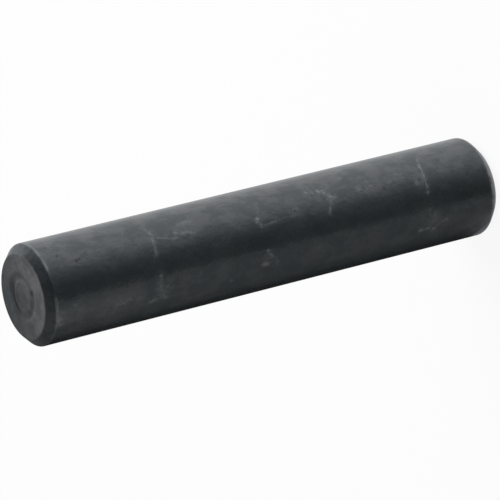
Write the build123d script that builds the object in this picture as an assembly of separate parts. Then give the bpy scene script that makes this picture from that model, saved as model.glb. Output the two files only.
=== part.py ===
"""Solid piston pin: one turned and ground steel bar with a chamfer at each end.

The pin stands on its lower end face. The origin is the centre of that face, and +Z
runs along the pin. The lower face is plain. The upper face keeps the marks of the
tool that faced it: a faintly dished middle, a narrow land and a shallow ring groove.
All lengths are in millimetres.
"""

from build123d import *

import os

# The bar
PIN_DIAMETER = 12.0
PIN_LENGTH = 62.0
CHAMFER = 1.0  # leg of the 45 degree lead-in, both along the pin and across it
EDGE_ROUND = 0.22  # radius that breaks both edges of each chamfer

# The upper face, from the middle outwards
DISH_DIAMETER = 3.3
DISH_DEPTH = 0.05
LAND_WIDTH = 0.12  # flat ring left between the dish and the groove
RING_WIDTH = 1.1
RING_DEPTH = 0.08

# Radii that follow from the sizes above
pin_radius = PIN_DIAMETER / 2
face_radius = pin_radius - CHAMFER
dish_radius = DISH_DIAMETER / 2
ring_inner_radius = dish_radius + LAND_WIDTH
ring_outer_radius = ring_inner_radius + RING_WIDTH
ring_middle_radius = (ring_inner_radius + ring_outer_radius) / 2


def draw_bar_outline():
    """Lower face, both chamfers and the barrel, in to the ring groove."""
    FilletPolyline(
        (0, 0),
        (face_radius, 0),
        (pin_radius, CHAMFER),
        (pin_radius, PIN_LENGTH - CHAMFER),
        (face_radius, PIN_LENGTH),
        (ring_outer_radius, PIN_LENGTH),
        radius=EDGE_ROUND,
    )


def draw_ring_groove():
    """Round-bottomed groove, and the land on its inner side."""
    ThreePointArc(
        (ring_outer_radius, PIN_LENGTH),
        (ring_middle_radius, PIN_LENGTH - RING_DEPTH),
        (ring_inner_radius, PIN_LENGTH),
    )
    Line((ring_inner_radius, PIN_LENGTH), (dish_radius, PIN_LENGTH))


def draw_dished_middle():
    """Spherical hollow that is level where it meets the axis."""
    hollow_radius = (dish_radius**2 + DISH_DEPTH**2) / (2 * DISH_DEPTH)
    RadiusArc(
        (dish_radius, PIN_LENGTH),
        (0, PIN_LENGTH - DISH_DEPTH),
        hollow_radius,
    )


def make_piston_pin():
    """Half of the pin's section, turned once round +Z."""
    with BuildPart() as piston_pin:
        with BuildSketch(Plane.XZ):
            with BuildLine():
                draw_bar_outline()
                draw_ring_groove()
                draw_dished_middle()
                Line((0, PIN_LENGTH - DISH_DEPTH), (0, 0))
            make_face()
        revolve(axis=Axis.Z)
    return piston_pin.part


os.makedirs("parts", exist_ok=True)
export_step(make_piston_pin(), "parts/piston_pin.step")
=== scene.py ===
"""A solid piston pin with a black oxide finish, standing on its plain lower end.

Run as a script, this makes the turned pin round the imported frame, stands it on a pale
floor in soft light and points the camera at it. The camera is rolled, so that the
standing pin lies across the view with its marked end face to the left.

Places on the pin's skin are given by two numbers. "around" is the angle about the axis,
from the side that faces the camera towards +X. "down" is the distance below the upper
end face, which is the marked one. Sizes are in metres. Only the tables and node trees of
the finish count in millimetres, and say so.
"""

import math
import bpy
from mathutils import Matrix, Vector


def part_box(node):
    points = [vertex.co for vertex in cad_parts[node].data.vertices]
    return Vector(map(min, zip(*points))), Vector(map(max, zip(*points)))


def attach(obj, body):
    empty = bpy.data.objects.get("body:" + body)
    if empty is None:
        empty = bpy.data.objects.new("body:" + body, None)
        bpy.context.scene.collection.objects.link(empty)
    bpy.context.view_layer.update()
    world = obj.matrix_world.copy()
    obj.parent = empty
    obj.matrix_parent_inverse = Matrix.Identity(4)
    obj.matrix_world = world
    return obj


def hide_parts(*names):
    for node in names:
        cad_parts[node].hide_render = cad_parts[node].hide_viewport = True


bl_info = {
    "name": "Piston Pin",
    "version": (1, 0, 0),
    "blender": (4, 5, 0),
    "location": "3D View > Sidebar > Piston Pin",
    "description": "Makes a turned piston pin with a black oxide finish, and a stage for it",
    "category": "Add Mesh",
}

from typing import NamedTuple

import bmesh
import bpy
from bpy.props import FloatProperty, FloatVectorProperty, IntProperty, PointerProperty
from bpy.types import NodeSocket, Operator, Panel, PropertyGroup
from mathutils import Euler, Matrix, Vector

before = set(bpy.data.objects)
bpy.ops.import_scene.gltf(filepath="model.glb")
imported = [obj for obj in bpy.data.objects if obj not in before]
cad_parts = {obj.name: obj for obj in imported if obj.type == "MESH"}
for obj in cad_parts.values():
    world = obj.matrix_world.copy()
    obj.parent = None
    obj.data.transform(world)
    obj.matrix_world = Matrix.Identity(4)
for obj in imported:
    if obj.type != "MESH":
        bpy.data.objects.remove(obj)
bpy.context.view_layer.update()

PIN_NODE = "piston_pin"
PIN_BODY = "root"
PIN_PIECE = "turned_pin"
MM = 0.001

pin_low, pin_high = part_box(PIN_NODE)


# Settings that a user would change


class PinSizes(PropertyGroup):
    """Sizes of the turned bar. Each is also a named input of the lathe's node tree."""

    diameter: FloatProperty(
        name="Diameter",
        description="Diameter of the ground barrel",
        default=pin_high.x - pin_low.x, min=MM, unit="LENGTH", precision=5,
    )
    length: FloatProperty(
        name="Length",
        description="Length over both end faces",
        default=pin_high.z - pin_low.z, min=MM, unit="LENGTH", precision=5,
    )
    chamfer: FloatProperty(
        name="Chamfer",
        description="Leg of the 45 degree chamfer at each end",
        default=1.0 * MM, min=0.0, unit="LENGTH", precision=5,
    )
    edge_round: FloatProperty(
        name="Edge Round",
        description="Radius that breaks both edges of each chamfer",
        default=0.22 * MM, min=0.0, unit="LENGTH", precision=5,
    )
    dish_diameter: FloatProperty(
        name="Dish Diameter",
        description="Diameter of the hollow in the middle of the upper face",
        default=3.3 * MM, min=0.0, unit="LENGTH", precision=5,
    )
    dish_depth: FloatProperty(
        name="Dish Depth",
        description="Depth of the hollow at its middle",
        default=0.05 * MM, min=0.0, unit="LENGTH", precision=5,
    )
    land_width: FloatProperty(
        name="Land Width",
        description="Flat ring left between the dish and the groove",
        default=0.12 * MM, min=0.0, unit="LENGTH", precision=5,
    )
    ring_width: FloatProperty(
        name="Ring Width",
        description="Width of the groove that runs round the dish",
        default=1.1 * MM, min=0.0, unit="LENGTH", precision=5,
    )
    ring_depth: FloatProperty(
        name="Ring Depth",
        description="Depth of the groove at its middle",
        default=0.08 * MM, min=0.0, unit="LENGTH", precision=5,
    )
    row_length: FloatProperty(
        name="Row Length",
        description="Longest face along the outline, so that the shading stays even",
        default=0.5 * MM, min=0.05 * MM, unit="LENGTH", precision=5,
    )
    facets: IntProperty(
        name="Facets",
        description="Faces in one turn round the axis",
        default=192, min=12,
    )
    round_facets: IntProperty(
        name="Round Facets",
        description="Points in each rounded edge",
        default=8, min=1,
    )


class OxideFinish(PropertyGroup):
    """Colours and polish of the blackened steel."""

    film_colour: FloatVectorProperty(
        name="Film",
        description="Black oxide where the film is thick",
        default=(0.0225, 0.0275, 0.0300), size=3, min=0.0, max=1.0, subtype="COLOR",
    )
    haze_colour: FloatVectorProperty(
        name="Haze",
        description="Black oxide where the film is a little thinner",
        default=(0.027, 0.033, 0.036), size=3, min=0.0, max=1.0, subtype="COLOR",
    )
    # Painted highlight: this grey is painted on the -Y side of the end faces so that they look
    # lighter there. It is painted light, not a bloom of the film.
    bloom_colour: FloatVectorProperty(
        name="Painted Highlight",
        description="Black oxide with a dry grey bloom, on one side of the end faces",
        default=(0.090, 0.093, 0.095), size=3, min=0.0, max=1.0, subtype="COLOR",
    )
    rubbed_colour: FloatVectorProperty(
        name="Rubbed",
        description="Steel that shows where the film is rubbed through",
        default=(0.225, 0.245, 0.255), size=3, min=0.0, max=1.0, subtype="COLOR",
    )
    barrel_roughness: FloatProperty(
        name="Barrel Roughness",
        description="Roughness of the ground barrel",
        default=0.25, min=0.0, max=1.0, subtype="FACTOR",
    )
    face_roughness: FloatProperty(
        name="Face Roughness",
        description="Roughness of the turned end faces and chamfers",
        default=0.30, min=0.0, max=1.0, subtype="FACTOR",
    )


class StageSettings(PropertyGroup):
    """The floor, the light and the camera."""

    floor_colour: FloatVectorProperty(
        name="Floor",
        description="Colour of the pale floor",
        default=(0.92, 0.92, 0.92), size=3, min=0.0, max=1.0, subtype="COLOR",
    )
    lamp_power: FloatProperty(
        name="Lamp Power",
        description="Power of the large soft lamp",
        default=4.0, min=0.0, unit="POWER",
    )
    ambient_level: FloatProperty(
        name="Ambient Level",
        description="Brightness of the surroundings as they light the pin",
        default=0.45, min=0.0,
    )
    camera_elevation: FloatProperty(
        name="Camera Elevation",
        description="Height of the camera above the horizon, seen from the pin",
        default=math.radians(29.5), subtype="ANGLE",
    )
    camera_roll: FloatProperty(
        name="Camera Roll",
        description="Turn about the view axis that lays the pin across the view",
        default=math.radians(-104.05), subtype="ANGLE",
    )
    camera_distance: FloatProperty(
        name="Camera Distance",
        description="From the lens to the middle of the pin, along the view axis",
        default=0.4665, min=0.01, unit="LENGTH",
    )
    lens: FloatProperty(
        name="Lens",
        description="Focal length of the camera",
        default=288.0, min=1.0, subtype="DISTANCE_CAMERA",
    )


# Node trees, step by step


class TreeBuilder:
    """Adds nodes to one tree. A value may be a socket to join or a plain number."""

    def __init__(self, data):
        self.data = data

    def set_input(self, node, key, value):
        if isinstance(value, NodeSocket):
            self.data.links.new(value, node.inputs[key])
        else:
            node.inputs[key].default_value = value

    def add(self, kind, inputs=None, **settings):
        node = self.data.nodes.new(kind)
        for name, value in settings.items():
            setattr(node, name, value)
        for key, value in (inputs or {}).items():
            self.set_input(node, key, value)
        return node

    def output(self, kind, inputs=None, **settings):
        """Adds a node, and gives its first output."""
        return self.add(kind, inputs, **settings).outputs[0]

    def math(self, operation, first, second=0.0, third=0.0):
        inputs = {0: first, 1: second, 2: third}
        return self.output("ShaderNodeMath", inputs, operation=operation)

    def plus(self, first, second):
        return self.math("ADD", first, second)

    def minus(self, first, second):
        return self.math("SUBTRACT", first, second)

    def times(self, first, second):
        return self.math("MULTIPLY", first, second)

    def over(self, first, second):
        return self.math("DIVIDE", first, second)

    def greatest(self, *values):
        top = values[0]
        for value in values[1:]:
            top = self.math("MAXIMUM", top, value)
        return top

    def vector(self, x=0.0, y=0.0, z=0.0):
        return self.output("ShaderNodeCombineXYZ", {0: x, 1: y, 2: z})

    def parts(self, vector):
        return self.add("ShaderNodeSeparateXYZ", {0: vector}).outputs

    def vector_math(self, operation, first, second=(0.0, 0.0, 0.0)):
        node = self.add("ShaderNodeVectorMath", {0: first, 1: second}, operation=operation)
        only_number = operation in ("DOT_PRODUCT", "LENGTH", "DISTANCE")
        return node.outputs["Value" if only_number else "Vector"]

    def scaled(self, vector, factor):
        return self.output("ShaderNodeVectorMath", {0: vector, "Scale": factor}, operation="SCALE")

    def fade(self, value, start, end, low=0.0, high=1.0):
        """From low at start to high at end, with a soft beginning and end.

        The soft ends hold the value already. The node's own clamp would only add more
        nodes, and Cycles has no room for so many in one material.
        """
        inputs = {"Value": value, "From Min": start, "From Max": end, "To Min": low, "To Max": high}
        soft = {"interpolation_type": "SMOOTHSTEP", "clamp": False}
        return self.output("ShaderNodeMapRange", inputs, **soft)

    def band(self, value, middle, edge, core=0.0):
        """1 within the core on both sides of the middle, and 0 from the edge on."""
        gap = self.math("ABSOLUTE", self.minus(value, middle))
        return self.fade(gap, edge, core)

    def mixed(self, factor, first, second):
        """The first number where the factor is 0, and the second where it is 1."""
        return self.output("ShaderNodeMix", {0: factor, 2: first, 3: second})

    def mixed_colour(self, factor, first, second):
        inputs = {0: factor, 6: first, 7: second}
        return self.add("ShaderNodeMix", inputs, data_type="RGBA").outputs[2]

    def noise(self, place, scale, detail=2.0, roughness=0.5):
        inputs = {"Vector": place, "Scale": scale, "Detail": detail, "Roughness": roughness}
        return self.output("ShaderNodeTexNoise", inputs)


def cleared_tree(owner):
    """The node tree of a new material or world, without any nodes."""
    owner.use_nodes = True
    owner.node_tree.nodes.clear()
    return owner.node_tree


def new_group(name, inputs, outputs, kind="ShaderNodeTree"):
    """An empty node group with its sockets, as (its builder, input sockets, output node)."""
    data = bpy.data.node_groups.new(name, kind)
    for in_out, sockets in (("INPUT", inputs), ("OUTPUT", outputs)):
        for socket, value_type in sockets.items():
            socket_type = "NodeSocket" + value_type
            data.interface.new_socket(name=socket, in_out=in_out, socket_type=socket_type)
    tree = TreeBuilder(data)
    given = tree.add("NodeGroupInput").outputs
    result = tree.add("NodeGroupOutput")
    return tree, given, result


# The lathe: a node tree that turns an outline once round the axis

GROOVE_POINTS = 13
DISH_POINTS = 21  # on the whole arc, and half of it is kept
MERGE_REACH = 0.001 * MM


def outline_point(tree, offset, height):
    """A point of the outline. Curve to Mesh lays a profile's +Y along -Z, so it is turned."""
    return tree.vector(offset, tree.times(height, -1.0))


def outline_arc(tree, count, places):
    """An arc through three places of the outline, each an offset and a height."""
    inputs = {"Resolution": count}
    for name, (offset, height) in zip(("Start", "Middle", "End"), places):
        inputs[name] = outline_point(tree, offset, height)
    return tree.output("GeometryNodeCurveArc", inputs, mode="POINTS")


def turned_outline(tree, size, offset):
    """Lower face, both chamfers and the barrel, in to the ring groove."""
    chamfered = tree.times(size["Chamfer"], -1.0)
    shoulder = tree.minus(size["Length"], size["Chamfer"])
    corners = (
        (offset["axis"], 0.0),
        (chamfered, 0.0),
        (0.0, size["Chamfer"]),
        (0.0, shoulder),
        (chamfered, size["Length"]),
        (offset["ring_outer"], size["Length"]),
    )
    switch = tree.add("GeometryNodeIndexSwitch", data_type="VECTOR")
    for _ in corners[2:]:
        switch.index_switch_items.new()
    tree.set_input(switch, "Index", tree.output("GeometryNodeInputIndex"))
    for number, (out, height) in enumerate(corners):
        tree.set_input(switch, str(number), outline_point(tree, out, height))

    points = tree.output("GeometryNodeMeshLine", {"Count": len(corners)})
    line = tree.output("GeometryNodeMeshToCurve", {"Mesh": points})
    placed = {"Geometry": line, "Position": switch.outputs[0]}
    rounding = {
        "Curve": tree.output("GeometryNodeSetPosition", placed),
        "Count": size["Round Facets"],
        "Radius": size["Edge Round"],
        "Limit Radius": True,
    }
    return tree.output("GeometryNodeFilletCurve", rounding, mode="POLY")


def ring_and_land(tree, size, offset):
    """Round-bottomed groove, and the flat ring on its inner side."""
    top = size["Length"]
    outer, inner = offset["ring_outer"], offset["ring_inner"]
    middle = tree.over(tree.plus(outer, inner), 2.0)
    bottom = tree.minus(top, size["Ring Depth"])
    places = ((outer, top), (middle, bottom), (inner, top))
    groove = outline_arc(tree, GROOVE_POINTS, places)
    start = outline_point(tree, inner, top)
    end = outline_point(tree, offset["dish"], top)
    land = tree.output("GeometryNodeCurvePrimitiveLine", {"Start": start, "End": end})
    return groove, land


def dished_middle(tree, size, offset):
    """Half of an arc that is level where it meets the axis."""
    top, axis, edge = size["Length"], offset["axis"], offset["dish"]
    bottom = tree.minus(top, size["Dish Depth"])
    opposite = tree.minus(tree.times(axis, 2.0), edge)
    arc = outline_arc(tree, DISH_POINTS, ((edge, top), (axis, bottom), (opposite, top)))
    return tree.output("GeometryNodeTrimCurve", {"Curve": arc, "End": 0.5})


def split_long_rows(tree, size, outline):
    """Adds points, so that no stretch of the outline is longer than one row."""
    here = tree.output("GeometryNodeInputPosition")
    after = tree.plus(tree.output("GeometryNodeInputIndex"), 1.0)
    next_point = {"Value": here, "Index": after}
    following = tree.output("GeometryNodeFieldAtIndex", next_point, data_type="FLOAT_VECTOR")
    stretch = tree.vector_math("DISTANCE", here, following)
    cuts = tree.math("FLOOR", tree.over(stretch, size["Row Length"]))
    return tree.output("GeometryNodeSubdivideCurve", {"Curve": outline, "Cuts": cuts})


def lathe_offsets(tree, size):
    """Distances of the outline's points outside the barrel's radius, so all are negative."""
    radius = tree.over(size["Diameter"], 2.0)
    dish = tree.over(size["Dish Diameter"], 2.0)
    ring_inner = tree.plus(dish, size["Land Width"])
    ring_outer = tree.plus(ring_inner, size["Ring Width"])
    return {
        "axis": tree.times(radius, -1.0),
        "dish": tree.minus(dish, radius),
        "ring_inner": tree.minus(ring_inner, radius),
        "ring_outer": tree.minus(ring_outer, radius),
    }


def turn_outline(tree, size, outline):
    """Sweeps the outline once round the axis, and closes its seam and both poles."""
    circle = {"Resolution": size["Facets"], "Radius": tree.over(size["Diameter"], 2.0)}
    path = tree.output("GeometryNodeCurvePrimitiveCircle", circle)
    path = tree.output("GeometryNodeSetCurveNormal", {"Curve": path}, mode="Z_UP")
    skin = tree.output("GeometryNodeCurveToMesh", {"Curve": path, "Profile Curve": outline})
    seams = {"Geometry": skin, "Distance": MERGE_REACH}
    skin = tree.output("GeometryNodeMergeByDistance", seams)
    return tree.output("GeometryNodeFlipFaces", {"Mesh": skin})


def build_lathe_tree(barrel_material, end_material):
    """The whole pin as one node tree, with a named input for every size."""
    value_types = {FloatProperty: "Float", IntProperty: "Int"}
    inputs = {
        size.keywords["name"]: value_types[size.function]
        for size in PinSizes.__annotations__.values()
    }
    outputs = {"Geometry": "Geometry"}
    tree, size, result = new_group("turned bar", inputs, outputs, "GeometryNodeTree")
    offset = lathe_offsets(tree, size)

    strands = [split_long_rows(tree, size, turned_outline(tree, size, offset))]
    strands.extend(ring_and_land(tree, size, offset))
    strands.append(dished_middle(tree, size, offset))
    joined = tree.add("GeometryNodeJoinGeometry")
    for strand in strands:
        tree.set_input(joined, 0, strand)
    skin = turn_outline(tree, size, joined.outputs[0])
    skin = tree.output("GeometryNodeSetShadeSmooth", {"Geometry": skin})
    skin = tree.output("GeometryNodeRealizeInstances", {"Geometry": skin})

    place = tree.output("GeometryNodeInputPosition")
    height = tree.parts(place)["Z"]
    above = tree.math("GREATER_THAN", height, size["Chamfer"])
    below = tree.math("LESS_THAN", height, tree.minus(size["Length"], size["Chamfer"]))
    on_barrel = tree.times(above, below)
    ends = {"Geometry": skin, "Material": end_material}
    skin = tree.output("GeometryNodeSetMaterial", ends)
    barrel = {"Geometry": skin, "Selection": on_barrel, "Material": barrel_material}
    tree.set_input(result, "Geometry", tree.output("GeometryNodeSetMaterial", barrel))
    return tree.data


def set_tree_sizes(modifier, sizes):
    """Gives each input of the modifier's tree the size that has its name."""
    values = {
        size.keywords["name"]: getattr(sizes, name)
        for name, size in PinSizes.__annotations__.items()
    }
    for socket in modifier.node_group.interface.items_tree:
        if socket.in_out == "INPUT":
            modifier[socket.identifier] = values[socket.name]


def frozen_mesh(piece):
    """The mesh that the piece's modifiers make."""
    depsgraph = bpy.context.evaluated_depsgraph_get()
    mesh = bpy.data.meshes.new_from_object(piece.evaluated_get(depsgraph), depsgraph=depsgraph)
    mesh.name = piece.name
    return mesh


# Wear on the barrel. Places are shares of the length and degrees, sizes are millimetres


class Line(NamedTuple):
    """A light line with soft sides, rubbed into the film from one spot to another."""

    down: float
    around: float
    to_down: float
    to_around: float
    width: float
    strength: float


class Patch(NamedTuple):
    """A soft oval, with how far it reaches from its middle along and round the pin."""

    down: float
    around: float
    reach_down: float
    reach_around: float
    strength: float


def dot(down, around, radius, strength):
    """A small round patch."""
    return Patch(down, around, radius, radius, strength)


LINES = (
    # Beside the upper shoulder
    Line(0.019, -27, 0.019, -40, 0.44, 0.46),
    # First ring, a quarter of the way down, with the crumbs beside it
    Line(0.239, 47, 0.242, 40, 0.50, 0.22),
    Line(0.242, 41, 0.245, 33, 0.50, 0.46),
    Line(0.244, 33, 0.241, 22, 0.42, 0.50),
    Line(0.241, 20, 0.238, 10, 0.42, 0.36),
    Line(0.250, 27, 0.298, 22, 0.24, 0.34),
    Line(0.290, 29, 0.308, 26, 0.42, 0.44),
    Line(0.308, 26, 0.331, 23, 0.36, 0.30),
    Line(0.306, 38, 0.332, 39, 0.40, 0.24),
    Line(0.236, -15, 0.236, -30, 0.45, 0.30),
    Line(0.240, -31, 0.246, -42, 0.46, 0.24),
    Line(0.212, -43, 0.236, -40, 0.40, 0.34),
    Line(0.250, -28, 0.256, -31, 0.34, 0.26),
    # Second ring, just above the middle, with a faint branch that runs down the pin
    Line(0.482, 42, 0.468, 26, 0.40, 0.14),
    Line(0.464, 19, 0.470, 11, 0.40, 0.30),
    Line(0.470, 13, 0.506, 14, 0.24, 0.34),
    Line(0.506, 14, 0.544, 16, 0.20, 0.18),
    Line(0.466, -17, 0.476, -23, 0.28, 0.30),
    Line(0.474, -22, 0.489, -33, 0.46, 0.18),
    # Third mark, forked like a Y
    Line(0.642, 44, 0.627, 34, 0.30, 0.22),
    Line(0.621, 37, 0.628, 29, 0.34, 0.62),
    Line(0.633, 26, 0.626, 18, 0.34, 0.62),
    Line(0.627, 20, 0.618, 11, 0.34, 0.44),
    Line(0.622, 24, 0.640, 24, 0.26, 0.34),
    # Fourth ring, near the lower end
    Line(0.853, 50, 0.846, 38, 0.24, 0.44),
    Line(0.846, 38, 0.843, 24, 0.22, 0.66),
    Line(0.843, 24, 0.838, 4, 0.22, 0.54),
    Line(0.836, -15, 0.832, -24, 0.50, 0.16),
    Line(0.838, -22, 0.850, -30, 0.45, 0.14),
    Line(0.852, -35, 0.874, -32, 0.36, 0.24),
    Line(0.812, -38, 0.846, -40, 0.34, 0.44),
)

# Where a line or a scuff is rubbed the most
KNOTS = (
    dot(0.245, 35, 0.50, 0.16), dot(0.225, -41, 0.50, 0.40), dot(0.295, 28, 0.40, 0.30),
    dot(0.318, 38, 0.45, 0.35), dot(0.026, -41, 0.60, 0.42), dot(0.463, 22, 0.36, 0.80),
    dot(0.461, 18, 0.40, 0.45), dot(0.545, 22, 0.34, 0.50), dot(0.469, -16, 0.36, 0.60),
    dot(0.390, -42, 0.36, 0.28), dot(0.587, 39, 0.40, 0.50), dot(0.597, 45, 0.36, 0.35),
    dot(0.614, 38, 0.42, 0.72), dot(0.625, 31, 0.34, 0.45), dot(0.675, 48, 0.50, 0.30),
    dot(0.697, 28, 0.60, 0.50), dot(0.726, 28, 0.45, 0.40), dot(0.843, 36, 0.27, 0.62),
    dot(0.842, 20, 0.30, 0.62), dot(0.822, 17, 0.60, 0.45), dot(0.830, 26, 0.45, 0.25),
    dot(0.813, -38, 0.42, 0.50),
)

# Dry, cloudy places
SCUFFS = (
    Patch(0.295, 25, 1.6, 2.4, 0.22), Patch(0.325, 40, 1.3, 1.2, 0.26),
    Patch(0.165, -34, 2.6, 0.8, 0.42), Patch(0.045, -27, 2.6, 1.4, 0.34),
    Patch(0.475, 30, 1.1, 1.6, 0.30), Patch(0.420, 18, 1.4, 0.7, 0.25),
    Patch(0.550, 20, 1.8, 0.9, 0.28), Patch(0.602, 36, 2.4, 1.7, 0.38),
    Patch(0.625, 27, 1.3, 1.0, 0.35), Patch(0.710, 28, 3.0, 1.6, 0.52),
    Patch(0.780, 31, 2.4, 1.3, 0.45), Patch(0.830, 20, 1.7, 1.4, 0.62),
    Patch(0.836, -26, 2.2, 1.4, 0.50), Patch(0.650, -30, 1.2, 0.9, 0.14),
    Patch(0.585, -27, 1.0, 0.4, 0.22), Patch(0.240, -36, 1.6, 1.1, 0.26),
    Patch(0.475, -25, 1.4, 1.3, 0.24),
)

# Where the film looks paler, on the near side only
FADED = (
    Patch(0.985, -60, 5.4, 3.6, 0.60),
    Patch(0.095, -32, 8.5, 2.3, 0.28),
    Patch(0.017, -36, 1.5, 0.5, 0.80),
    Patch(0.463, -31, 0.95, 0.45, 0.70),
)

# Where the worn line along the upper shoulder is missing, on the near side only
SPARED_EDGE = tuple(Patch(0.016, around, 3.0, 2.4, 1.0) for around in (6, -60, -80))

# Small dark dents
PITS = (
    dot(0.037, 51, 0.32, 0.55), dot(0.048, 35, 0.42, 0.80), dot(0.080, 23, 0.42, 0.70),
    dot(0.086, 25, 0.36, 0.60), dot(0.103, 31, 0.36, 0.60), dot(0.127, 26, 0.36, 0.35),
    dot(0.432, 65, 0.40, 0.60), dot(0.597, 32, 0.34, 0.60), dot(0.316, 20, 0.46, 0.40),
    dot(0.546, 20, 0.34, 0.50), dot(0.565, 65, 0.34, 0.50), dot(0.601, 51, 0.34, 0.40),
    dot(0.616, 25, 0.30, 0.50), dot(0.637, 28, 0.30, 0.45), dot(0.708, 25, 0.32, 0.40),
    dot(0.750, 19, 0.46, 0.40), dot(0.829, 18, 0.36, 0.24),
)

# The far side carries the same wear, half a turn round and end for end, and then moved on
FAR_SIDE_TURN = 0.25  # radians
FAR_SIDE_SHIFT = 2.6  # millimetres along the pin


# The finish. Its node trees count in millimetres and radians

HALO_WIDTH = 2.4  # how far a line's cloudy halo reaches, in widths of the line

FADED_COLOUR = (0.13, 0.136, 0.136, 1.0)
PIT_COLOUR = (0.006, 0.006, 0.006, 1.0)
# The colour of the darker inner half of the groove on the upper face
GROOVE_DARK_COLOUR = (0.006, 0.006, 0.007, 1.0)
# Painted highlight: the colour of a paler ring outside the groove, on the +X side of the faces
RING_HIGHLIGHT_COLOUR = (0.13, 0.13, 0.135, 1.0)
FILM_IOR = 1.85
FILM_TINT = (0.93, 0.945, 1.0, 1.0)
DULL_SHARE = 0.55  # of metal, where a pit or the darker part of the groove takes the gloss away


def build_places_group(sizes):
    """Where a point lies on the pin, and on its unrolled near and far side."""
    outputs = dict.fromkeys(("Place", "Near Side", "Far Side"), "Vector")
    outputs |= dict.fromkeys(("Down", "Out"), "Float")
    tree, _, result = new_group("place on the pin", {}, outputs)
    metres = tree.add("ShaderNodeTexCoord").outputs["Object"]
    place = tree.scaled(metres, 1.0 / MM)
    part = tree.parts(place)
    toward_camera = tree.times(part["Y"], -1.0)
    around = tree.math("ARCTAN2", part["X"], toward_camera)
    down = tree.minus(sizes.length / MM, part["Z"])
    out = tree.vector_math("LENGTH", tree.vector(part["X"], part["Y"]))
    radius = sizes.diameter / 2 / MM
    near_arc = tree.times(around, radius)
    away = tree.math("ARCTAN2", tree.times(part["X"], -1.0), part["Y"])
    far_arc = tree.times(tree.plus(away, FAR_SIDE_TURN), radius)
    up = tree.plus(part["Z"], FAR_SIDE_SHIFT)
    found = {
        "Place": place,
        "Down": down,
        "Out": out,
        "Near Side": tree.vector(near_arc, down),
        "Far Side": tree.vector(far_arc, up),
    }
    for name, socket in found.items():
        tree.set_input(result, name, socket)
    return tree.data


def build_line_group():
    """How much of a rubbed line, from one spot to another, covers a point."""
    inputs = dict.fromkeys(("Point", "From", "To"), "Vector")
    inputs |= dict.fromkeys(("Width", "Strength"), "Float")
    outputs = {"Line": "Float", "Halo": "Float"}
    tree, given, result = new_group("rubbed line", inputs, outputs)
    span = tree.vector_math("SUBTRACT", given["To"], given["From"])
    reach = tree.vector_math("SUBTRACT", given["Point"], given["From"])
    along = tree.vector_math("DOT_PRODUCT", reach, span)
    whole = tree.vector_math("DOT_PRODUCT", span, span)
    held = tree.output("ShaderNodeClamp", {"Value": tree.over(along, whole)})
    gap = tree.vector_math("DISTANCE", reach, tree.scaled(span, held))
    halo_width = tree.times(given["Width"], HALO_WIDTH)
    for name, width in (("Line", given["Width"]), ("Halo", halo_width)):
        cover = tree.fade(gap, width, 0.0)
        tree.set_input(result, name, tree.times(cover, given["Strength"]))
    return tree.data


def build_patch_group():
    """How much of an oval patch with a soft edge covers a point."""
    inputs = dict.fromkeys(("Point", "Centre", "Reach"), "Vector")
    inputs["Strength"] = "Float"
    tree, given, result = new_group("soft patch", inputs, {"Amount": "Float"})
    away = tree.vector_math("SUBTRACT", given["Point"], given["Centre"])
    share = tree.vector_math("LENGTH", tree.vector_math("DIVIDE", away, given["Reach"]))
    cover = tree.fade(share, 1.0, 0.0)
    tree.set_input(result, "Amount", tree.times(cover, given["Strength"]))
    return tree.data


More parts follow.
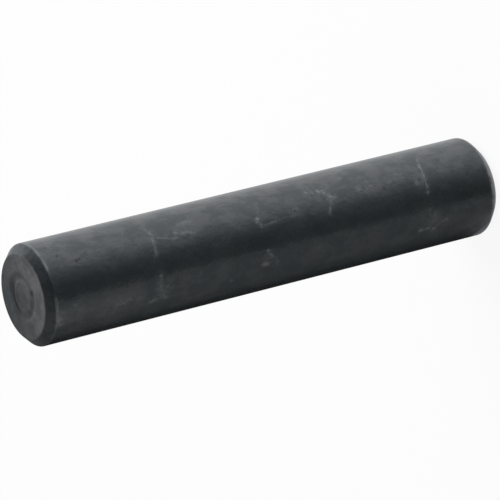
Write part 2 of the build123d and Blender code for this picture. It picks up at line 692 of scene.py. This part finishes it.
class PinMaterial(TreeBuilder):
    """One material of the pin while its tree is built, with what both materials need."""

    def __init__(self, name, sizes, finish, groups):
        self.material = bpy.data.materials.new(name)
        super().__init__(cleared_tree(self.material))
        self.sizes = sizes
        self.finish = finish
        self.groups = groups
        places = self.add_group("places")
        self.place, self.down, self.out = places["Place"], places["Down"], places["Out"]
        self.near_side, self.far_side = places["Near Side"], places["Far Side"]

    def add_group(self, name, inputs=None):
        """The outputs of a new node that holds one of the shared groups."""
        return self.add("ShaderNodeGroup", inputs, node_tree=self.groups[name]).outputs

    def spot(self, down, around):
        """A place on the unrolled barrel, in millimetres, from a share and degrees."""
        arc = math.radians(around) * self.sizes.diameter / 2 / MM
        return Vector((arc, down * self.sizes.length / MM, 0.0))

    def oxide(self):
        """The film's colour, and the share of it that counts as metal.

        A dark metal mirrors less, so the share makes the gloss uneven. It takes light
        away from the colour too, and the colour makes up for that.
        """
        clouds = self.noise(self.place, 0.40, detail=5.0, roughness=0.72)
        lengthwise = self.vector_math("MULTIPLY", self.place, (1.0, 1.0, 0.25))
        streaks = self.noise(lengthwise, 1.1, detail=3.0, roughness=0.6)
        haze = self.math("MULTIPLY_ADD", streaks, 0.30, self.times(clouds, 0.70))
        haze = self.fade(haze, 0.39, 0.61)
        film = (*self.finish.film_colour, 1.0)
        colour = self.mixed_colour(haze, film, (*self.finish.haze_colour, 1.0))
        metal = self.fade(haze, 1.0, 0.0, 0.0, 0.45)
        kept = self.minus(1.0, metal)
        return self.vector_math("DIVIDE", colour, kept), metal

    def patches(self, point, marks, cover=0.0):
        """The strongest of the patches at a point and of the cover that is there already.

        Each mark joins the running maximum at once. Cycles would otherwise have to hold
        every mark until the last one, and it has no room for so many.
        """
        for mark in marks:
            inputs = {
                "Point": point,
                "Centre": self.spot(mark.down, mark.around),
                "Reach": Vector((mark.reach_around, mark.reach_down, 1.0)),
                "Strength": mark.strength,
            }
            cover = self.greatest(cover, self.add_group("patch", inputs)["Amount"])
        return cover

    def depth(self):
        """Distance behind the nearer end face."""
        other_end = self.minus(self.sizes.length / MM, self.down)
        return self.math("MINIMUM", self.down, other_end)

    def on_upper_half(self):
        """1 on the upper half of the pin, and 0 on the lower half."""
        return self.math("LESS_THAN", self.down, self.sizes.length / 2 / MM)

    def edge_wear(self, inset, half_width):
        """A thin worn line at one distance behind either end face."""
        line = self.band(self.depth(), inset, half_width)
        patchy = self.noise(self.place, 0.9, detail=3.0, roughness=0.6)
        kept = self.fade(patchy, 0.32, 0.62, 0.2, 1.0)
        spared = self.patches(self.near_side, SPARED_EDGE)
        kept = self.times(kept, self.fade(spared, 0.0, 0.5, 1.0, 0.05))
        return self.times(line, kept)

    def finish_surface(self, colour, roughness, metal, heights):
        """The shader itself. The film is a dark dielectric skin over the steel."""
        surface = {
            "Base Color": colour,
            "Roughness": roughness,
            "Metallic": metal,
            "IOR": FILM_IOR,
            "Specular Tint": FILM_TINT,
        }
        for height, distance in heights:
            inputs = {"Strength": 1.0, "Distance": distance, "Height": height}
            if "Normal" in surface:
                inputs["Normal"] = surface["Normal"]
            surface["Normal"] = self.output("ShaderNodeBump", inputs)
        shader = self.output("ShaderNodeBsdfPrincipled", surface)
        self.add("ShaderNodeOutputMaterial", {"Surface": shader})
        return self.material


class BarrelMaterial(PinMaterial):
    """Ground and blackened: cloudy film, rub marks, scuffs and a few pits."""

    def wandering(self, side):
        """The unrolled place, pushed about a little, so that straight marks wander."""
        for scale, reach in ((0.6, 0.55), (2.2, 0.30)):
            noise = self.add("ShaderNodeTexNoise", {"Vector": self.place, "Scale": scale})
            push = self.vector_math("SUBTRACT", noise.outputs["Color"], (0.5, 0.5, 0.5))
            push = self.vector_math("MULTIPLY", push, (reach, reach, 0.0))
            side = self.vector_math("ADD", side, push)
        return side

    def rub_mark(self, point, mark):
        """How much of one line, and of its halo, covers a point."""
        inputs = {
            "Point": point,
            "From": self.spot(mark.down, mark.around),
            "To": self.spot(mark.to_down, mark.to_around),
            "Width": mark.width,
            "Strength": mark.strength,
        }
        return self.add_group("line", inputs)

    def rubbed_amount(self):
        """Light lines, knots and clouds where the film is rubbed, broken up by noise."""
        line, cloud = 0.0, 0.0
        for side in (self.near_side, self.far_side):
            point = self.wandering(side)
            for mark in LINES:
                cover = self.rub_mark(point, mark)
                line = self.greatest(line, cover["Line"])
                cloud = self.greatest(cloud, cover["Halo"])
            line = self.patches(point, KNOTS, line)
            cloud = self.patches(point, SCUFFS, cloud)
        crumbs = self.noise(self.place, 1.7, detail=3.0, roughness=0.65)
        line = self.times(line, self.fade(crumbs, 0.32, 0.60, 0.25, 1.0))
        cloud = self.times(cloud, self.fade(crumbs, 0.42, 0.66, 0.06, 0.55))
        return self.greatest(line, cloud)

    def pitted_amount(self):
        """Small dark dents: a few scattered at random, and the ones in the table."""
        cell = {"Vector": self.place, "Scale": 0.7}
        cells = self.add("ShaderNodeTexVoronoi", cell).outputs
        draw = self.parts(cells["Color"])["X"]
        chosen = self.math("GREATER_THAN", draw, 0.72)
        dent = self.fade(cells["Distance"], 0.17, 0.04, 0.0, 0.4)
        pitted = self.times(chosen, dent)
        for side in (self.near_side, self.far_side):
            pitted = self.patches(self.wandering(side), PITS, pitted)
        return pitted

    def build(self):
        film, film_metal = self.oxide()
        rubbed = self.rubbed_amount()
        worn_edge = self.edge_wear(self.sizes.chamfer / MM + 0.05, 0.30)
        worn = self.greatest(rubbed, worn_edge)
        pitted = self.pitted_amount()
        faded = self.patches(self.near_side, FADED)
        colour = self.mixed_colour(faded, film, FADED_COLOUR)
        colour = self.mixed_colour(worn, colour, (*self.finish.rubbed_colour, 1.0))
        colour = self.mixed_colour(pitted, colour, PIT_COLOUR)
        roughness = self.math("MULTIPLY_ADD", worn, 0.12, self.finish.barrel_roughness)

        bright_edge = self.times(worn_edge, self.on_upper_half())
        bare = self.math("MULTIPLY_ADD", worn, 0.35, self.times(bright_edge, 0.65))
        dull = self.times(pitted, DULL_SHARE)
        metal = self.greatest(bare, film_metal, dull)

        stretched = self.vector_math("MULTIPLY", self.place, (1.0, 1.0, 0.6))
        grain = self.noise(self.place, 2.4, detail=1.0)
        ripple = self.noise(stretched, 1.0, detail=1.0)
        heights = ((ripple, 0.026 * MM), (grain, 0.022 * MM), (pitted, -0.030 * MM))
        return self.finish_surface(colour, roughness, metal, heights)


class EndMaterial(PinMaterial):
    """Turned and blackened: rings left by the tool, a darker groove, worn edges, and a painted
    highlight on the faces.
    """

    def bloom_amount(self, part, on_face):
        """Painted highlight: paler and grey towards the -Y side of either face, and less so in its
        middle.
        """
        forward = self.math("MULTIPLY_ADD", part["X"], 0.09, self.times(part["Y"], -1.0))
        painted_highlight = self.fade(forward, -3.8, 4.6)
        off_middle = self.fade(self.out, 0.3, 2.2, 0.35, 1.0)
        return self.times(painted_highlight, self.times(on_face, off_middle))

    def dirt_amount(self, part, groove):
        """Darker in the inner half of the groove, mostly at +Y, with one dark spot at -Y."""
        darkened = self.band(self.out, groove - 0.18, 0.48, 0.16)
        patchy = self.noise(self.place, 0.9, roughness=0.6)
        darkened = self.times(darkened, self.fade(patchy, 0.35, 0.62, 0.85, 1.0))
        sideways = self.math("MULTIPLY_ADD", part["X"], 0.05, part["Y"])
        darkened = self.times(darkened, self.fade(sideways, 0.9, 2.3, 0.06, 1.0))
        darkened = self.times(darkened, self.on_upper_half())
        dark_spot = Vector((0.1, -2.3, self.sizes.length / MM))
        gap = self.vector_math("DISTANCE", self.place, dark_spot)
        return self.greatest(darkened, self.fade(gap, 0.65, 0.1, 0.0, 0.7))

    def dry_amount(self, part, groove, painted_highlight):
        """Painted highlight: a paler ring outside the groove, on its +X side, only where the faces'
        painted highlight is.
        """
        ring = self.band(self.out, groove + 1.3, 0.95, 0.3)
        ring = self.times(ring, self.fade(part["X"], 1.0, 2.6, 0.0, 0.45))
        return self.times(ring, painted_highlight)

    def build(self):
        sizes = self.sizes
        groove = ((sizes.dish_diameter + sizes.ring_width) / 2 + sizes.land_width) / MM
        part = self.parts(self.place)
        on_face = self.fade(self.depth(), 0.12, 0.02)
        # Painted highlight: how much paler the faces are painted towards -Y
        painted_highlight = self.bloom_amount(part, on_face)
        worn = self.edge_wear(sizes.chamfer / MM - 0.02, 0.12)
        # The inner half of the groove is darker, mostly at +Y, with one dark spot at -Y
        groove_dark = self.dirt_amount(part, groove)
        # Painted highlight: a paler ring outside the groove on the +X side
        ring_highlight = self.dry_amount(part, groove, painted_highlight)

        # The film is more even here than on the barrel
        film, film_metal = self.oxide()
        even = self.fade(on_face, 1.0, 0.0, 0.35, 0.6)
        film = self.mixed_colour(even, film, (*self.finish.film_colour, 1.0))
        # The faces are painted paler grey towards -Y, as a painted highlight
        colour = self.mixed_colour(painted_highlight, film, (*self.finish.bloom_colour, 1.0))
        colour = self.mixed_colour(worn, colour, (*self.finish.rubbed_colour, 1.0))
        # The groove is darker in colour here, and rougher and duller too
        colour = self.mixed_colour(groove_dark, colour, GROOVE_DARK_COLOUR)
        # The paler ring on the +X side is a painted highlight
        colour = self.mixed_colour(ring_highlight, colour, RING_HIGHLIGHT_COLOUR)
        roughness = self.math("MULTIPLY_ADD", groove_dark, 0.20, self.finish.face_roughness)
        metal = self.greatest(worn, film_metal, self.times(groove_dark, DULL_SHARE))

        cuts = {"W": self.out, "Scale": 5.0, "Detail": 3.0, "Roughness": 0.6}
        rings = self.output("ShaderNodeTexNoise", cuts, noise_dimensions="1D")
        grain = self.noise(self.place, 2.4, roughness=0.6)
        heights = ((rings, 0.003 * MM), (grain, 0.008 * MM))
        return self.finish_surface(colour, roughness, metal, heights)


# The stage

FLOOR_HALF = 2.0
FLOOR_WHITE = 0.90  # the share of the seen floor that is plain white
TENT_REACH = 0.30
TENT_SIDES = 96
DOME_STEPS = 12  # in a quarter turn, and the last one is left open
TENT_LIFT = 0.2 * MM  # above the floor
TENT_GAP = 0.25 * MM  # round the lower face
FOOT_REACH = 1.5 * MM  # beside the barrel
LAMP_SIZE = 0.6
LAMP_OFFSET = Vector((0.50, 0.10, 0.42))
# How far the pin's middle is seen right of the view's middle, and above it
AIM_RIGHT = 0.54 * MM
AIM_UP = 1.26 * MM


def add_object(name, data):
    """A new object in the scene, at the origin."""
    new = bpy.data.objects.new(name, data)
    bpy.context.scene.collection.objects.link(new)
    return new


def seen_directly(tree):
    """1 for rays that show the surroundings: from the camera, a gloss or a glass."""
    path = tree.add("ShaderNodeLightPath").outputs
    return tree.greatest(path["Is Camera Ray"], path["Is Glossy Ray"], path["Is Transmission Ray"])


def build_floor_material(stage):
    """Pale and matt. Part of what is seen is plain white, and the rest keeps shadows."""
    material = bpy.data.materials.new("pale floor")
    material.cycles.emission_sampling = "NONE"
    tree = TreeBuilder(cleared_tree(material))
    matt = tree.output("ShaderNodeBsdfDiffuse", {"Color": (*stage.floor_colour, 1.0)})
    white = tree.output("ShaderNodeEmission", {"Strength": 1.0})
    share = tree.times(seen_directly(tree), FLOOR_WHITE)
    mix = tree.output("ShaderNodeMixShader", {0: share, 1: matt, 2: white})
    tree.add("ShaderNodeOutputMaterial", {"Surface": mix})
    return material


def make_floor(stage):
    """One large square, level with the pin's lower face."""
    shape = bmesh.new()
    bmesh.ops.create_grid(shape, x_segments=1, y_segments=1, size=FLOOR_HALF)
    mesh = bpy.data.meshes.new("floor")
    shape.to_mesh(mesh)
    shape.free()
    mesh.materials.append(build_floor_material(stage))
    floor = add_object("floor", mesh)


# How open the tent is, by the heading from the pin in degrees: 0 is towards the camera,
# and 90 is towards +X
FLOOR_OPENINGS = (
    (-180, 0.38), (-165, 0.04), (-155, 0.0), (-130, 0.015), (-118, 0.07),
    (-100, 0.135), (-78, 0.185), (-38, 0.225), (-31.5, 0.195), (-26, 0.02),
    (0, 0.03), (20, 0.18), (36, 0.46), (50, 0.77), (66, 0.98),
    (84, 1.0), (106, 1.0), (130, 0.94), (150, 0.86), (165, 0.86),
    (180, 0.38),
)
WALL_OPENINGS = (
    (-180, 0.32), (-160, 0.20), (-145, 0.15), (-120, 0.20), (-96, 0.34),
    (-60, 0.38), (-38, 0.32), (-28, 0.04), (2, 0.03), (20, 0.22),
    (40, 0.68), (60, 1.0), (100, 0.86), (114, 0.72), (126, 0.98),
    (140, 0.76), (150, 0.60), (180, 0.32),
)
# Close to the pin the cloth is mirrored only in the lower chamfer
FOOT_OPENINGS = (
    (-180, 0.0), (-130, 0.0), (-95, 0.4), (-24, 0.4), (-8, 0.55),
    (24, 0.75), (50, 0.9), (110, 0.7), (140, 0.0), (180, 0.0),
)


def opening(tree, heading, openings):
    """The openness that a table gives for a heading."""
    turn = tree.times(heading, 1.0 / math.tau)
    ramp = tree.add("ShaderNodeValToRGB", {"Fac": tree.plus(turn, 0.5)})
    elements = ramp.color_ramp.elements
    while len(elements) > 1:
        elements.remove(elements[-1])
    for number, (degrees, openness) in enumerate(openings):
        position = degrees / 360.0 + 0.5
        element = elements[0] if number == 0 else elements.new(position)
        element.position = position
        element.color = (openness, openness, openness, 1.0)
    return ramp.outputs["Color"]


def mirrored_heading(tree, around, level, sizes):
    """The heading under which the barrel mirrors a place on the cloth.

    The place is seen in the barrel along a line that starts beside the axis, so the
    direction of that line is turned further than the place is.
    """
    heading = around
    nearness = tree.over(sizes.diameter / 2, level)
    for _ in range(2):
        half = tree.math("SINE", tree.times(heading, 0.5))
        heading = tree.math("MULTIPLY_ADD", nearness, half, around)
    return heading


def floor_openness(tree, around, level, gap_side, sizes):
    """How open the cloth on the floor is. On the gap's side, it opens with the distance."""
    heading = mirrored_heading(tree, around, level, sizes)
    lift = tree.math("POWER", tree.fade(level, 0.055, 0.100, 1.0, 1.40), gap_side)
    on_floor = tree.times(opening(tree, heading, FLOOR_OPENINGS), lift)
    at_foot = opening(tree, around, FOOT_OPENINGS)
    far_from_foot = tree.math("GREATER_THAN", level, sizes.diameter / 2 + FOOT_REACH)
    return tree.mixed(far_from_foot, at_foot, on_floor)


def wall_openness(tree, around, rise, gap_side):
    """How open the cloth above the floor is. High up, only the back and the gap's side are."""
    top_share = tree.times(gap_side, 0.45)
    low_enough = tree.fade(rise, math.radians(52.0), math.radians(36.0), top_share, 1.0)
    turned_away = tree.math("ABSOLUTE", around)
    behind = tree.fade(turned_away, math.radians(120.0), math.radians(150.0), 0.0, 0.9)
    on_wall = opening(tree, around, WALL_OPENINGS)
    return tree.times(on_wall, tree.greatest(low_enough, behind))


def build_tent_material(sizes):
    """Black cloth, open towards the lamp, with a thin gap on the other side."""
    material = bpy.data.materials.new("black tent cloth")
    tree = TreeBuilder(cleared_tree(material))
    place = tree.add("ShaderNodeTexCoord").outputs["Object"]
    part = tree.parts(place)
    toward_camera = tree.times(part["Y"], -1.0)
    around = tree.math("ARCTAN2", part["X"], toward_camera)
    level = tree.vector_math("LENGTH", tree.vector(part["X"], part["Y"]))
    rise = tree.math("ARCTAN2", part["Z"], level)
    gap_side = tree.math("LESS_THAN", around, 0.0)
    is_wall = tree.fade(rise, math.radians(2.0), math.radians(5.0))
    on_floor = floor_openness(tree, around, level, gap_side, sizes)
    on_wall = wall_openness(tree, around, rise, gap_side)
    openness = tree.mixed(is_wall, on_floor, on_wall)
    cloth = tree.output("ShaderNodeBsdfDiffuse", {"Color": (0.0, 0.0, 0.0, 1.0)})
    clear = tree.output("ShaderNodeBsdfTransparent")
    mix = tree.output("ShaderNodeMixShader", {0: openness, 1: cloth, 2: clear})
    tree.add("ShaderNodeOutputMaterial", {"Surface": mix})
    return material


def tent_rings(sizes):
    """Radius and height of each ring of the tent, along the floor and up the dome."""
    foot = sizes.diameter / 2 - sizes.chamfer + TENT_GAP
    radii = (foot, sizes.diameter / 2 + FOOT_REACH, TENT_REACH)
    rings = [(radius, TENT_LIFT) for radius in radii]
    for step in range(1, DOME_STEPS):
        rise = math.radians(90.0 / DOME_STEPS * step)
        rings.append((TENT_REACH * math.cos(rise), TENT_LIFT + TENT_REACH * math.sin(rise)))
    return rings


def make_tent(sizes):
    """A dark tent round the pin that only reflections see."""
    shape = bmesh.new()
    rows = []
    for radius, height in tent_rings(sizes):
        turns = [math.tau * side / TENT_SIDES for side in range(TENT_SIDES)]
        places = [(radius * math.cos(turn), radius * math.sin(turn), height) for turn in turns]
        rows.append([shape.verts.new(place) for place in places])
    for lower, upper in zip(rows, rows[1:]):
        for side in range(TENT_SIDES):
            after = (side + 1) % TENT_SIDES
            shape.faces.new((lower[side], lower[after], upper[after], upper[side]))
    mesh = bpy.data.meshes.new("reflection_tent")
    shape.to_mesh(mesh)
    shape.free()
    mesh.materials.append(build_tent_material(sizes))
    tent = add_object("reflection_tent", mesh)
    for kind in ("camera", "diffuse", "transmission", "volume_scatter", "shadow"):
        setattr(tent, "visible_" + kind, False)


def make_lamp(stage, target):
    """One large soft lamp, above the pin and to the +X side."""
    light = bpy.data.lights.new("soft_lamp", "AREA")
    light.shape = "SQUARE"
    light.size = LAMP_SIZE
    light.energy = stage.lamp_power
    lamp = add_object("soft_lamp", light)
    lamp.location = target + LAMP_OFFSET
    lamp.rotation_euler = (-LAMP_OFFSET).to_track_quat("-Z", "Y").to_euler()
    lamp.visible_glossy = False


def make_surroundings(stage):
    """White where it is seen, and softer as a light on the pin."""
    world = bpy.data.worlds.new("surroundings")
    world.cycles.sampling_method = "NONE"
    tree = TreeBuilder(cleared_tree(world))
    levels = {"Value": seen_directly(tree), "To Min": stage.ambient_level, "To Max": 1.0}
    level = tree.output("ShaderNodeMapRange", levels)
    white = {"Color": (1.0, 1.0, 1.0, 1.0), "Strength": level}
    background = tree.output("ShaderNodeBackground", white)
    tree.add("ShaderNodeOutputWorld", {"Surface": background})
    bpy.context.scene.world = world


def make_camera(stage, target):
    """Looks down along +Y at the pin's middle, and is rolled about its own view axis."""
    lens = bpy.data.cameras.new("camera")
    lens.lens = stage.lens
    lens.sensor_width = 36.0
    lens.clip_start = 0.01
    lens.clip_end = 10.0
    camera = add_object("camera", lens)
    level = Euler((math.pi / 2 - stage.camera_elevation, 0.0, 0.0)).to_matrix()
    turn = level @ Matrix.Rotation(stage.camera_roll, 3, "Z")
    right, up, back = turn.col
    place = target - right * AIM_RIGHT - up * AIM_UP + back * stage.camera_distance
    camera.matrix_world = Matrix.Translation(place) @ turn.to_4x4()
    bpy.context.scene.camera = camera


# Operators and panel


class PISTONPIN_OT_turn_pin(Operator):
    """Turn the pin and give it its black oxide finish"""

    bl_idname = "piston_pin.turn_pin"
    bl_label = "Turn Pin"
    bl_options = {"REGISTER", "UNDO"}

    def execute(self, context):
        sizes = context.scene.pin_sizes
        finish = context.scene.pin_finish
        groups = {
            "places": build_places_group(sizes),
            "line": build_line_group(),
            "patch": build_patch_group(),
        }
        barrel = BarrelMaterial("black oxide, ground", sizes, finish, groups).build()
        ends = EndMaterial("black oxide, turned", sizes, finish, groups).build()
        piece = add_object(PIN_PIECE, bpy.data.meshes.new(PIN_PIECE))
        lathe = piece.modifiers.new("lathe", "NODES")
        lathe.node_group = build_lathe_tree(barrel, ends)
        set_tree_sizes(lathe, sizes)
        mesh = frozen_mesh(piece)
        if not mesh.polygons:
            raise RuntimeError("the lathe tree made no faces")
        piece.modifiers.clear()
        piece.data = mesh
        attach(piece, PIN_BODY)
        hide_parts(PIN_NODE)
        return {"FINISHED"}


class PISTONPIN_OT_set_stage(Operator):
    """Add the floor, the light and the camera"""

    bl_idname = "piston_pin.set_stage"
    bl_label = "Set Stage"
    bl_options = {"REGISTER", "UNDO"}

    def execute(self, context):
        stage = context.scene.pin_stage
        sizes = context.scene.pin_sizes
        middle = Vector((0.0, 0.0, sizes.length / 2))
        make_floor(stage)
        make_tent(sizes)
        make_lamp(stage, middle)
        make_surroundings(stage)
        make_camera(stage, middle)
        context.scene.view_settings.view_transform = "Standard"
        return {"FINISHED"}


class PISTONPIN_PT_panel(Panel):
    """Sizes, finish and stage of the pin"""

    bl_idname = "PISTONPIN_PT_panel"
    bl_label = "Piston Pin"
    bl_space_type = "VIEW_3D"
    bl_region_type = "UI"
    bl_category = "Piston Pin"

    def draw(self, context):
        scene = context.scene
        sections = (
            ("Sizes", scene.pin_sizes, "piston_pin.turn_pin"),
            ("Finish", scene.pin_finish, "piston_pin.turn_pin"),
            ("Stage", scene.pin_stage, "piston_pin.set_stage"),
        )
        for title, settings, operator in sections:
            box = self.layout.box()
            box.label(text=title)
            for name in settings.__annotations__:
                box.prop(settings, name)
            box.operator(operator)


CLASSES = (
    PinSizes,
    OxideFinish,
    StageSettings,
    PISTONPIN_OT_turn_pin,
    PISTONPIN_OT_set_stage,
    PISTONPIN_PT_panel,
)


def register():
    for cls in CLASSES:
        bpy.utils.register_class(cls)
    bpy.types.Scene.pin_sizes = PointerProperty(type=PinSizes)
    bpy.types.Scene.pin_finish = PointerProperty(type=OxideFinish)
    bpy.types.Scene.pin_stage = PointerProperty(type=StageSettings)


def unregister():
    del bpy.types.Scene.pin_stage
    del bpy.types.Scene.pin_finish
    del bpy.types.Scene.pin_sizes
    for cls in reversed(CLASSES):
        bpy.utils.unregister_class(cls)


def main():
    register()
    bpy.ops.piston_pin.turn_pin()
    bpy.ops.piston_pin.set_stage()


if __name__ == "__main__":
    main()
